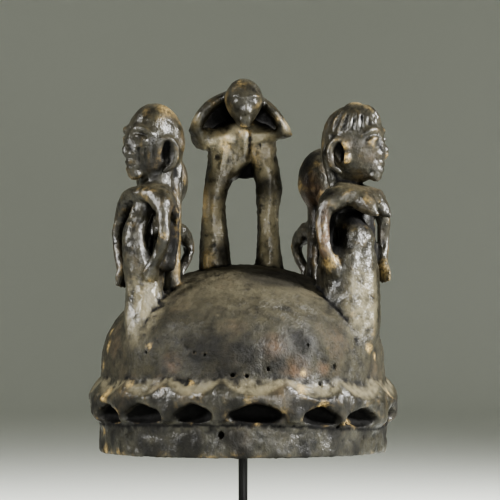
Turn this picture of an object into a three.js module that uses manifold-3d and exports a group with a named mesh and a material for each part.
// A carved wooden cap mask: a hollow dome with a scalloped roll and a plain rim band, four half figures
// standing round the dome and one whole figure on its crown, all cut from one log.
// A plain steel rod on a flat foot holds the mask up from inside.
// Millimetres, +Z up. The origin is under the middle of the foot, and the side most often seen faces -Y.
import * as THREE from "three";
import { mergeVertices } from "three/addons/utils/BufferGeometryUtils.js";
import Module from "manifold-3d";

// The stand
const FOOT_WIDTH = 180;
const FOOT_THICKNESS = 10;
const FOOT_CORNER = 6;
const ROD_DIAMETER = 8;
const ROD_HEAD_DIAMETER = 44;
const ROD_HEAD_THICKNESS = 4;
const CLEAR_UNDER_RIM = 60;
const SEAT_GAP = 0.3;

// The cap, from the rim up
const BAND_RADIUS = 125;
const BAND_HEIGHT = 28;
const RIM_WALL = 16;
const ROLL_HEIGHT = 39;
const ROLL_PROUD = 9.5;
const SCOOPS = 15;
const SCOOP_START = -8;
const DOME_SETBACK = 2;
const DRUM_HEIGHT = 15;
const DOME_RISE = 81;
const DOME_FULLNESS = 1.9;
const CROWN_THICKNESS = 20;
const SEAT_MARGIN = 5;

// The figures: height, how far the base lies above the foot of the dome's curve, how far the middle of the
// figure lies inside the dome's wall, its bearing from +X, and the way it faces.
const FRONT_HEIGHT = 212;
const RIGHT_STANCE = { height: FRONT_HEIGHT, above: 6, inset: 20, bearing: -26.6, facing: -40 };
const LEFT_STANCE = { height: FRONT_HEIGHT, above: 6, inset: 29, bearing: 213.7, facing: 215 };
const REAR_STANCE = { height: 195, above: -6, inset: 20, bearing: 45.5, facing: 45.5 };
const CROWN_HEIGHT = 168;
const CROWN_SINK = 4;

const ROLL_TOP = BAND_HEIGHT + ROLL_HEIGHT;
const DOME_RADIUS = BAND_RADIUS - DOME_SETBACK;
const DOME_SPRING = ROLL_TOP + DRUM_HEIGHT;
const DOME_TOP = DOME_SPRING + DOME_RISE;
const CAVITY_RADIUS = BAND_RADIUS - RIM_WALL;
const CAVITY_TOP = DOME_TOP - CROWN_THICKNESS;
const SEAT_RADIUS = ROD_HEAD_DIAMETER / 2 + SEAT_MARGIN;
const RIM_HEIGHT = FOOT_THICKNESS + CLEAR_UNDER_RIM;

const CAP_SEGMENTS = SCOOPS * 3;
const CAVITY_SEGMENTS = 24;
const WOOD = new THREE.MeshStandardMaterial({ color: 0x2b2620, roughness: 0.45, metalness: 0 });
const BLACK_STEEL = new THREE.MeshStandardMaterial({ color: 0x111111, roughness: 0.5, metalness: 0.2 });

const wasm = await Module();
wasm.setup();

// A closed geometry as a solid that can be joined and cut.
function solid(geometry) {
  const bare = new THREE.BufferGeometry().setAttribute("position", geometry.getAttribute("position"));
  bare.setIndex(geometry.index);
  const merged = mergeVertices(bare, 1e-3);
  const index = merged.index.array;
  const kept = [];
  for (let i = 0; i < index.length; i += 3) {
    const [a, b, c] = [index[i], index[i + 1], index[i + 2]];
    if (a !== b && b !== c && c !== a) kept.push([a, b, c]);
  }
  const build = (triangles) =>
    new wasm.Manifold(
      new wasm.Mesh({
        numProp: 3,
        vertProperties: new Float32Array(merged.attributes.position.array),
        triVerts: new Uint32Array(triangles.flat()),
      }),
    );
  const made = build(kept);
  return made.volume() > 0 ? made : build(kept.map(([a, b, c]) => [a, c, b]));
}

function union(solids) {
  return solids.reduce((whole, piece) => whole.add(piece));
}

// A solid as a mesh of its own.
function meshOf(name, body, material) {
  const { vertProperties, triVerts } = body.getMesh();
  const geometry = new THREE.BufferGeometry();
  geometry.setAttribute("position", new THREE.BufferAttribute(new Float32Array(vertProperties), 3));
  geometry.setIndex(new THREE.BufferAttribute(new Uint32Array(triVerts), 1));
  geometry.computeVertexNormals();
  const mesh = new THREE.Mesh(geometry, material);
  mesh.name = name;
  return mesh;
}

// Moves every vertex of a geometry by a function that changes it in place.
function reshape(geometry, move) {
  const position = geometry.getAttribute("position");
  const vertex = new THREE.Vector3();
  for (let i = 0; i < position.count; i++) {
    move(vertex.fromBufferAttribute(position, i));
    position.setXYZ(i, vertex.x, vertex.y, vertex.z);
  }
  return geometry;
}

// The value at share t of a list of evenly spaced values.
function along(values, t) {
  const at = t * (values.length - 1);
  const low = Math.min(Math.floor(at), values.length - 2);
  return THREE.MathUtils.lerp(values[low], values[low + 1], at - low);
}

// A bent, tapering bar. Each station is a point, a half width along `across` and a half depth at right
// angles to that, as [x, y, z, width, depth].
function limb(stations, { sides = 8, steps = stations.length - 1, across = [0, 1, 0] } = {}) {
  const path = new THREE.CatmullRomCurve3(stations.map(([x, y, z]) => new THREE.Vector3(x, y, z)));
  const widths = stations.map((station) => station[3]);
  const depths = stations.map((station) => station[4] ?? station[3]);
  const wanted = new THREE.Vector3(...across);
  return reshape(new THREE.CylinderGeometry(1, 1, 1, sides, steps), (v) => {
    const t = THREE.MathUtils.clamp(v.y + 0.5, 0, 1);
    const tangent = path.getTangent(t);
    const width = wanted.clone().addScaledVector(tangent, -wanted.dot(tangent)).normalize();
    const thickness = new THREE.Vector3().crossVectors(tangent, width);
    const [x, z] = [v.x * along(widths, t), v.z * along(depths, t)];
    v.copy(path.getPoint(t)).addScaledVector(width, x).addScaledVector(thickness, z);
  });
}

// An ellipsoid with its poles up and down, and an optional change to its unit directions.
function egg(centre, radii, { around = 12, down = 8, carve = () => {} } = {}) {
  const ball = new THREE.SphereGeometry(1, around, down).rotateX(Math.PI / 2);
  return reshape(ball, (v) => {
    carve(v);
    v.multiply(new THREE.Vector3(...radii)).add(new THREE.Vector3(...centre));
  });
}

// The other side of a figure: the same stations with the second coordinate turned over.
function mirrored(stations) {
  return stations.map(([f, s, u, ...radii]) => [f, -s, u, ...radii]);
}

// The cap: a turned outline whose roll is scooped out between its cusps.

// Height in the roll, and how proud the roll stands at a cusp and in the middle of a scoop, all as shares.
const ROLL_SECTION = [
  [0, 0, -0.05],
  [0.06, 0.7, -0.5],
  [0.26, 0.98, -0.34],
  [0.42, 1, 0.7],
  [0.58, 1, 0.88],
  [0.8, 0.98, 0.3],
  [0.93, 0.72, -0.05],
  [1, 0, -0.1],
];

// How far into a scoop a direction lies: 0 on the cusp between two scoops, and 1 in the middle of one.
function scoopDepth(angle) {
  const turn = ((THREE.MathUtils.radToDeg(angle) - SCOOP_START) * SCOOPS) / 360;
  const share = turn - Math.floor(turn);
  return 1 - (2 * share - 1) ** 2;
}

// The radius and height of a dome of the given size at share t of its curve, from its spring to its top.
function domePoint(radius, spring, top, t) {
  const angle = (t * Math.PI) / 2;
  const power = 2 / DOME_FULLNESS;
  const r = radius * Math.max(Math.cos(angle), 0) ** power;
  return [r < 1e-6 ? 0 : r, spring + (top - spring) * Math.sin(angle) ** power];
}

// A body turned about the Z axis. Each ring gives its radius and height in a direction, measured from -Y
// towards +X. The quads after the middle of a scoop are split the other way from those before it.
function turned(rings, segments) {
  const positions = [];
  for (const ring of rings) {
    for (let i = 0; i < segments; i++) {
      const angle = THREE.MathUtils.degToRad(SCOOP_START) + (i / segments) * 2 * Math.PI;
      const [r, z] = ring(angle);
      positions.push(r * Math.sin(angle), -r * Math.cos(angle), z);
    }
  }
  const index = [];
  const perScoop = segments / SCOOPS;
  for (let row = 0; row < rings.length - 1; row++) {
    for (let i = 0; i < segments; i++) {
      const [a, b] = [row * segments + i, row * segments + ((i + 1) % segments)];
      const [c, d] = [b + segments, a + segments];
      const early = (i % perScoop) * 2 < perScoop - 1;
      index.push(...(early ? [a, b, c, a, c, d] : [a, b, d, b, c, d]));
    }
  }
  const geometry = new THREE.BufferGeometry();
  geometry.setAttribute("position", new THREE.Float32BufferAttribute(positions, 3));
  return geometry.setIndex(index);
}

function capOutside() {
  const rings = [[0, 0], [BAND_RADIUS, 0]].map((point) => () => point);
  for (const [height, cusp, scoop] of ROLL_SECTION) {
    const z = BAND_HEIGHT + ROLL_HEIGHT * height;
    const body = THREE.MathUtils.lerp(BAND_RADIUS, DOME_RADIUS, height);
    const proud = (angle) => THREE.MathUtils.lerp(cusp, scoop, scoopDepth(angle));
    rings.push((angle) => [body + ROLL_PROUD * proud(angle), z]);
  }
  const domeSteps = 7;
  for (let i = 0; i <= domeSteps; i++) {
    const point = domePoint(DOME_RADIUS, DOME_SPRING, DOME_TOP, i / domeSteps);
    rings.push(() => point);
  }
  return turned(rings, CAP_SEGMENTS);
}

function capCavity() {
  const below = -BAND_HEIGHT;
  const outline = [[0, below], [CAVITY_RADIUS, below]];
  const steps = 6;
  for (let i = 0; i <= steps; i++) {
    const point = domePoint(CAVITY_RADIUS, DOME_SPRING, CAVITY_TOP, i / steps);
    if (point[0] > SEAT_RADIUS) outline.push(point);
  }
  outline.push([SEAT_RADIUS, CAVITY_TOP], [0, CAVITY_TOP]);
  const points = outline.map(([r, z]) => new THREE.Vector2(r, z));
  return new THREE.LatheGeometry(points, CAVITY_SEGMENTS).rotateX(Math.PI / 2);
}

// The heads. Every figure is drawn in hundredths of its own height, as [forward, left, up], and a bar
// is drawn as a row of stations [forward, left, up, half width, half depth].

const HEAD = { forward: 12.2, side: 10.4, up: 16.2 };

// An egg with an upright face, a nape that tucks in, and a chin narrower than the brow.
function headShape(v) {
  const low = Math.max(0, -v.z);
  v.y *= 1 - 0.24 * low ** 1.5;
  v.x *= v.x > 0 ? 1 + 0.1 * low : 1.06 - 0.34 * low ** 2;
  v.z = Math.max(v.z, -0.93);
}

function face(detail) {
  const nose = [
    [10.6, 0, 3.6, 0.9, 1],
    [12.4, 0, -3.4, 2.3, 1.7],
    [10.2, 0, -5.4, 1.6, 1],
  ];
  const parts = [limb(nose, { sides: 6 }), egg([9.6, 0, -9], [2.4, 3.9, 2.4], { around: 8, down: 4 })];
  if (!detail) return parts;
  for (const left of [-1, 1]) {
    parts.push(egg([8.2, left * 4.9, 0.3], [2.6, 3, 2], { around: 6, down: 4 }));
  }
  return parts;
}

// A rim bent like a C that opens forward.
function ear(left) {
  const side = left * HEAD.side;
  const rim = [
    [3.2, side * 0.9, 3.8, 1, 0.9],
    [-0.4, side * 1.08, 4.8, 1.6, 1.6],
    [-3.6, side * 1.1, 0.8, 1.7, 1.7],
    [-3, side * 1.06, -5, 1.7, 1.6],
    [0.4, side * 0.9, -8.6, 1.1, 1],
  ];
  return limb(rim, { sides: 6, across: [1, 0, 0] });
}

// A crest from brow to nape, with plaits that fall from it to each side.
function crest() {
  const spine = [
    [7.8, 0, 8.8, 1.2, 1.4],
    [4, 0, 13, 2.6, 2.1],
    [-2.6, 0, 14, 4, 2.3],
    [-8.4, 0, 9, 5.6, 2.9],
    [-10.6, 0, -0.6, 6.4, 2.7],
    [-9.2, 0, -10.4, 5.6, 2.9],
    [-6.2, 0, -19, 4.4, 2.6],
  ];
  const parts = [limb(spine, { sides: 8 })];
  const plaits = 4;
  for (const left of [-1, 1]) {
    for (let i = 0; i < plaits; i++) {
      const t = i / (plaits - 1);
      const plait = [
        [5.6 - 7.4 * t, left * 1.4, 13.6 - 0.2 * t, 1.2, 1.4],
        [7.2 - 9 * t, left * 6, 11 - 0.4 * t, 1.3, 1.5],
        [8.2 - 9.4 * t, left * 9, 6.2 - 2 * t, 0.7, 0.9],
      ];
      parts.push(limb(plait, { sides: 4, across: [1, 0, 0] }));
    }
  }
  return parts;
}

// A head turns on its neck by `turn` degrees, seen from above.
function head({ centre, turn, hair, detail }) {
  const fineness = detail ? { around: 12, down: 8 } : { around: 10, down: 6 };
  const skull = egg([0, 0, 0], [HEAD.forward, HEAD.side, HEAD.up], { ...fineness, carve: headShape });
  const parts = [skull, ...face(detail)];
  if (detail) parts.push(ear(1), ear(-1));
  if (hair) parts.push(...crest());
  const place = new THREE.Matrix4().makeRotationZ(THREE.MathUtils.degToRad(turn)).setPosition(...centre);
  return parts.map((part) => part.applyMatrix4(place));
}

// The four half figures: a head, a chest that overhangs the belly, arms that stand clear of the body,
// and a trunk that runs down into the dome.

// A flat hand that points down from the last station of an arm.
function hand([f, s, u]) {
  const palm = [
    [f - 0.4, s, u + 1.6, 2.2, 2.6],
    [f, s, u - 2.4, 2.1, 3.8],
    [f + 0.4, s, u - 6.2, 1.3, 2.6],
  ];
  return limb(palm, { sides: 6 });
}

function halfFigure({ arms, breasts, neck, chest, belly, trunk, back, ...headPlan }) {
  const parts = [
    ...head(headPlan),
    limb(neck, { sides: 7 }),
    limb(chest, { sides: 8, across: [1, 0, 0] }),
    limb(belly, { sides: 7 }),
    limb(trunk),
    limb(back, { sides: 6 }),
  ];
  for (const stations of arms) {
    parts.push(limb(stations, { sides: 6 }), hand(stations[stations.length - 1]));
  }
  for (const stations of breasts) parts.push(limb(stations, { sides: 6 }));
  return parts;
}

const RIGHT_BREAST = [
  [9.5, 3.6, 60.6, 3.4],
  [14, 4.4, 58, 3],
  [17.4, 4.9, 54.4, 1.3],
];

const RIGHT_FIGURE = {
  centre: [1.8, 0, 83.6],
  turn: 18,
  hair: true,
  detail: true,
  neck: [
    [-3.6, 0, 60, 6.6, 6],
    [-3.4, 0, 67, 5.4, 5.4],
    [-2.4, 0, 74, 6, 6],
  ],
  chest: [
    [-2, -13, 58.4, 4.4, 4],
    [0.6, -8.6, 62, 8, 4.4],
    [2.2, 0, 62.6, 9.4, 4.6],
    [2.6, 8.6, 62, 8, 4.4],
    [2.4, 14.6, 59.4, 4.4, 4],
  ],
  belly: [
    [-2, 0, 62, 7.4, 5],
    [0.6, 0, 54, 7.2, 6],
    [3.6, 0, 50, 7.6, 7.8],
    [3.8, 0, 42, 8, 8.4],
    [3, 0, 30, 9, 9.4],
  ],
  trunk: [
    [-1.6, 0, 36, 10.6, 11.6],
    [-1.6, 0, 30, 12.6, 12.8],
    [-1.2, 0, 10, 13, 13.4],
    [-3.6, 0, -4, 12.6, 12.8],
  ],
  back: [
    [-6.4, 0, 66, 4, 2.6],
    [-9.2, 0, 50, 4.6, 2.4],
    [-9.6, 0, 30, 7, 4],
  ],
  arms: [
    [
      [-2, -12.6, 60, 3.6, 3.2],
      [-2.6, -14.8, 53, 3.1, 3],
      [-1.6, -16, 45.6, 2.8, 2.8],
      [-0.8, -14.8, 39.6, 2.7, 2.7],
      [0, -12.2, 35.6, 2.4, 2.6],
    ],
    [
      [3.4, 13.6, 60.4, 3.4, 3],
      [4, 16.8, 53, 2.7, 2.8],
      [3.4, 17.4, 45, 2.4, 2.5],
      [4.4, 15.6, 38, 2.4, 2.4],
      [6.4, 13.6, 34, 2.2, 2.2],
    ],
  ],
  breasts: [RIGHT_BREAST, mirrored(RIGHT_BREAST)],
};

const LEFT_FIGURE = {
  centre: [-1.4, 0, 84],
  turn: -3,
  hair: false,
  detail: true,
  neck: [
    [-2, 0, 60, 7.4, 7],
    [-2.6, 0, 67, 6.8, 7],
    [-3.2, 0, 75, 7, 7.4],
  ],
  chest: [
    [4, -13.6, 57.6, 4, 4],
    [2.4, -8, 62, 7, 4],
    [1.4, 0, 63.4, 8.4, 3.8],
    [2, 8, 62.4, 7, 4],
    [3, 13.6, 57.6, 4, 4],
  ],
  belly: [
    [1.6, 0, 62, 5.4, 4.4],
    [5, -0.4, 55, 6.2, 5],
    [7.4, -0.6, 44, 6.8, 6],
    [5, 0, 30, 7.4, 7.4],
  ],
  trunk: [
    [3.4, 0, 32, 7.6, 7.4],
    [3.6, 0.6, 20, 8.2, 8.4],
    [3, 2, 6, 10.4, 10],
    [0, 1.6, -6, 9.4, 9],
  ],
  back: [
    [-10.4, 1, 82, 4.4, 2.6],
    [-9.8, 1.8, 66, 3.8, 3],
    [-8.8, 2.6, 44, 3.4, 3],
    [-8.4, 2.8, 28, 3.6, 3.2],
    [-7.6, 3, 13, 1.6, 1.6],
  ],
  arms: [
    [
      [3, 13, 59, 3, 3],
      [3.8, 16.4, 52, 2.8, 3],
      [5, 17.8, 45, 2.6, 3],
      [5.4, 15.6, 39, 2.5, 2.8],
      [6.6, 11.4, 33.6, 2.2, 2.4],
    ],
    [
      [4.2, -13, 58, 3, 3],
      [4.8, -16.4, 52, 2.6, 2.8],
      [5, -17, 45, 2.4, 2.6],
      [5, -15.4, 38, 2.4, 2.6],
      [5.6, -12.6, 32, 2.2, 2.4],
    ],
  ],
  breasts: [],
};

const REAR_ARM = [
  [0, 11.8, 61.4, 3.2, 3],
  [-0.6, 14.8, 58, 2.8, 2.8],
  [-0.6, 16.2, 52.6, 2.5, 2.6],
  [0.6, 14.6, 47, 2.4, 2.5],
  [2, 12, 42.6, 2.2, 2.4],
];

const REAR_FIGURE = {
  centre: [0, 0, 83.4],
  turn: 0,
  hair: false,
  detail: false,
  neck: [
    [-1.6, 0, 60, 6.8, 6.2],
    [-1.6, 0, 67, 5.8, 5.8],
    [-1.8, 0, 75, 6.2, 6.4],
  ],
  chest: [
    [0, -13.6, 58.4, 4.2, 4],
    [0.6, -7, 62, 7, 4.4],
    [0.6, 7, 62, 7, 4.4],
    [0, 13.6, 58.4, 4.2, 4],
  ],
  belly: [
    [0.4, 0, 60, 6.6, 6],
    [1.6, 0, 46, 7, 6.8],
    [1.4, 0, 32, 8, 7.8],
  ],
  trunk: [
    [0, 0, 36, 8.6, 8.6],
    [0, 0, 26, 9.6, 9.8],
    [-2, 0, 0, 10.6, 10.8],
  ],
  back: [
    [-6, 0, 64, 3.6, 2],
    [-7.4, 0, 48, 3.4, 2],
    [-7.6, 0, 30, 5, 3],
  ],
  arms: [REAR_ARM, mirrored(REAR_ARM)],
  breasts: [],
};

// Puts a figure's pieces in place: its height, its base, its place on plan and the way it faces.
function stand(parts, height, base, [x, y], facing) {
  const share = height / 100;
  const place = new THREE.Matrix4()
    .makeTranslation(x, y, base)
    .multiply(new THREE.Matrix4().makeRotationZ(THREE.MathUtils.degToRad(facing)))
    .multiply(new THREE.Matrix4().makeScale(share, share, share));
  return parts.map((part) => solid(part.applyMatrix4(place)));
}

function standOnDome(figure, { height, above, inset, bearing, facing }) {
  const angle = THREE.MathUtils.degToRad(bearing);
  const place = [Math.cos(angle), Math.sin(angle)].map((value) => value * (DOME_RADIUS - inset));
  return stand(halfFigure(figure), height, DOME_SPRING + above, place, facing);
}

// The standing figure on the crown: it bows out of its hips, so that its chest hangs over it like a hood,
// with its head in front and its elbows spread.

const CROWN_LEGS = [
  [
    [0, -8.6, 70, 9, 8],
    [0, -9.4, 61, 9, 8.4],
    [0.4, -12.4, 49, 7.4, 8],
    [0.6, -15, 35, 5.4, 7.6],
    [0, -15.2, 28, 6.1, 8],
    [-0.4, -14.6, 10, 7.8, 9],
    [0, -14.3, -2, 8.2, 9.4],
  ],
  [
    [0, 8.6, 70, 8.6, 8],
    [0, 10, 61, 8, 8.4],
    [0.4, 12.6, 49, 7.2, 8],
    [0.8, 13, 37, 6, 7.8],
    [0, 12.5, 28, 5.3, 7.6],
    [-0.4, 13.2, 10, 6.4, 8.4],
    [0, 13.9, -2, 7.2, 9],
  ],
];

const CROWN_UPPER_ARMS = [
  [
    [7, -9, 90.4, 5, 2.3],
    [9.4, -16.8, 86, 5.6, 2.3],
    [10.6, -22, 80.8, 5.4, 2.3],
    [10.6, -25.4, 73.8, 4.4, 2.3],
  ],
  [
    [7, 9, 88.4, 5, 2.3],
    [9.4, 14.4, 83.8, 5.6, 2.3],
    [10.6, 18.8, 78.4, 5.4, 2.3],
    [10.6, 22.2, 71.6, 4.4, 2.3],
  ],
];

// The forearms widen from the elbows into the hips.
const CROWN_FOREARMS = [
  [
    [11, -26.6, 73.8, 2, 3],
    [8.4, -22.6, 71.4, 3.4, 5],
    [4, -16.4, 67.8, 6, 6],
    [2, -5, 67.6, 6.4, 7],
  ],
  [
    [11, 23.6, 70.6, 2, 3],
    [8.4, 20.6, 69.8, 3, 5],
    [4, 14.6, 68.2, 5, 6],
    [2, 4, 67.6, 6.4, 7],
  ],
];

const CROWN_CHEST = [
  [-4, -0.6, 66, 17, 4],
  [-2, -0.8, 74, 24, 3],
  [3, -0.8, 82, 21.4, 3],
  [6, 0, 90, 11, 3],
];

const CROWN_HIPS = [
  [0.4, -0.4, 73, 13, 8.4],
  [0.4, 0, 63, 13, 8.4],
  [-1, 0.6, 54, 9, 6.8],
  [-2.4, 0.8, 48.6, 7, 5],
];

const CROWN_CLOTH = [
  [9.4, 0.8, 71, 1.4, 1.6],
  [9.4, 0.8, 63, 1.6, 1.6],
  [7, 0.8, 55, 1.2, 1.6],
];

const CROWN_HEAD = { centre: [15, 0.4, 85.2], radii: [10.2, 10.3, 13], turn: 6, tilt: 8 };

function crownHead() {
  const skull = egg([0, 0, 0], CROWN_HEAD.radii, {
    around: 12,
    down: 8,
    carve: (v) => {
      const low = Math.max(0, 0.3 - v.z);
      v.y *= 1 - 0.36 * low ** 1.4;
      v.x *= 1 - 0.16 * low ** 1.4;
    },
  });
  const nose = limb(
    [
      [9.6, 0, 4, 0.9],
      [11.2, 0, -2.4, 1.7],
      [9.4, 0, -4.4, 1.1],
    ],
    { sides: 5 },
  );
  const eyes = [-1, 1].map((left) => egg([7.6, left * 4.9, 1.4], [2, 2.2, 1.9], { around: 6, down: 4 }));
  const place = new THREE.Matrix4()
    .makeTranslation(...CROWN_HEAD.centre)
    .multiply(new THREE.Matrix4().makeRotationZ(THREE.MathUtils.degToRad(CROWN_HEAD.turn)))
    .multiply(new THREE.Matrix4().makeRotationY(THREE.MathUtils.degToRad(CROWN_HEAD.tilt)));
  return [skull, nose, ...eyes].map((part) => part.applyMatrix4(place));
}

function crownFigure() {
  const neck = [
    [2, 0, 86, 6.6, 6],
    [12, 0, 87, 6, 6],
  ];
  const toe = egg([6.4, -18.4, 4.4], [4.6, 3.2, 5], { around: 6, down: 4 });
  return [
    ...CROWN_LEGS.map((stations) => limb(stations, { sides: 7 })),
    ...CROWN_UPPER_ARMS.map((stations) => limb(stations, { sides: 6, across: [1, 0, 0] })),
    ...CROWN_FOREARMS.map((stations) => limb(stations, { across: [0, 0, 1] })),
    limb(CROWN_CHEST),
    limb(CROWN_HIPS, { sides: 6 }),
    limb(CROWN_CLOTH, { sides: 4 }),
    limb(neck),
    toe,
    ...crownHead(),
  ];
}

function mask() {
  const towardsViewer = -90;
  const { bearing, facing, ...rest } = REAR_STANCE;
  const carved = [
    solid(capOutside()),
    ...standOnDome(RIGHT_FIGURE, RIGHT_STANCE),
    ...standOnDome(LEFT_FIGURE, LEFT_STANCE),
    ...standOnDome(REAR_FIGURE, REAR_STANCE),
    ...standOnDome(REAR_FIGURE, { ...rest, bearing: 180 - bearing, facing: 180 - facing }),
    ...stand(crownFigure(), CROWN_HEIGHT, DOME_TOP - CROWN_SINK, [0, 0], towardsViewer),
  ];
  return union(carved).subtract(solid(capCavity())).translate(0, 0, RIM_HEIGHT);
}

// The stand: a rod that flares into a flat round head under the crown, and a square foot.

function rod() {
  const top = RIM_HEIGHT + CAVITY_TOP - SEAT_GAP;
  const bottom = FOOT_THICKNESS + SEAT_GAP;
  const r = ROD_DIAMETER / 2;
  const outline = [
    [0, bottom],
    [r, bottom],
    [r, top - ROD_HEAD_THICKNESS - r],
    [2 * r, top - ROD_HEAD_THICKNESS],
    [ROD_HEAD_DIAMETER / 2, top - ROD_HEAD_THICKNESS],
    [ROD_HEAD_DIAMETER / 2, top],
    [0, top],
  ].map(([x, y]) => new THREE.Vector2(x, y));
  return solid(new THREE.LatheGeometry(outline, 12).rotateX(Math.PI / 2));
}

function foot() {
  const half = FOOT_WIDTH / 2;
  const plate = new THREE.Shape();
  plate.moveTo(-half + FOOT_CORNER, -half);
  plate.lineTo(half - FOOT_CORNER, -half);
  plate.absarc(half - FOOT_CORNER, -half + FOOT_CORNER, FOOT_CORNER, -Math.PI / 2, 0, false);
  plate.absarc(half - FOOT_CORNER, half - FOOT_CORNER, FOOT_CORNER, 0, Math.PI / 2, false);
  plate.absarc(-half + FOOT_CORNER, half - FOOT_CORNER, FOOT_CORNER, Math.PI / 2, Math.PI, false);
  plate.absarc(-half + FOOT_CORNER, -half + FOOT_CORNER, FOOT_CORNER, Math.PI, 1.5 * Math.PI, false);
  const options = { depth: FOOT_THICKNESS, bevelEnabled: false, curveSegments: 3 };
  return solid(new THREE.ExtrudeGeometry(plate, options));
}

const part = new THREE.Group();
part.add(meshOf("mask", mask(), WOOD));
part.add(meshOf("stand_rod", rod(), BLACK_STEEL));
part.add(meshOf("stand_foot", foot(), BLACK_STEEL));

export default part;
